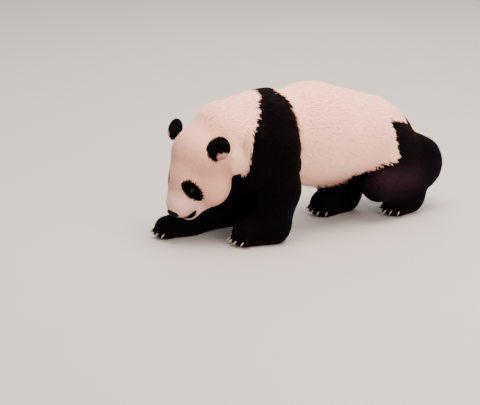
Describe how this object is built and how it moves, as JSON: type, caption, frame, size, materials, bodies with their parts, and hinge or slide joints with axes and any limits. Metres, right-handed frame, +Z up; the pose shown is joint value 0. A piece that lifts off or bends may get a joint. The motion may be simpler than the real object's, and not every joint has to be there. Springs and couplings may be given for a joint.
{
  "type": "giant panda",
  "caption": "Life-size giant panda cub on all fours, hindquarters low, head lowered over its outstretched right forearm.",
  "frame": {"origin": "on the floor below the middle of the bounding box", "axes": "+Y from head to tail, +Z up, +X to the animal's left"},
  "size_m": [0.322, 0.9096, 0.4145],
  "materials": {
    "coat_white": "short dense fur, warm cream",
    "coat_black": "short dense fur, brownish black",
    "eye": "wet gloss",
    "nose": "moist, pebbled",
    "claw": "horn, satin"
  },
  "bodies": {
    "root": {"eye_left": "eye", "eye_right": "eye", "nose_pad": "nose", "head": "coat_white", "ear_left": "coat_black", "ear_right": "coat_black", "neck": "coat_white", "shoulders": "coat_black", "trunk": "coat_white", "tail": "coat_white", "foreleg_left": "coat_black", "forepaw_left": "coat_black", "foreclaw_left_1": "claw", "foreclaw_left_2": "claw", "foreclaw_left_3": "claw", "foreclaw_left_4": "claw", "foreclaw_left_5": "claw", "foreleg_right": "coat_black", "forepaw_right": "coat_black", "foreclaw_right_1": "claw", "foreclaw_right_2": "claw", "foreclaw_right_3": "claw", "foreclaw_right_4": "claw", "foreclaw_right_5": "claw", "hindleg_left": "coat_black", "hindpaw_left": "coat_black", "hindclaw_left_1": "claw", "hindclaw_left_2": "claw", "hindclaw_left_3": "claw", "hindclaw_left_4": "claw", "hindclaw_left_5": "claw", "hindleg_right": "coat_black", "hindpaw_right": "coat_black", "hindclaw_right_1": "claw", "hindclaw_right_2": "claw", "hindclaw_right_3": "claw", "hindclaw_right_4": "claw", "hindclaw_right_5": "claw"}
  },
  "joints": []
}
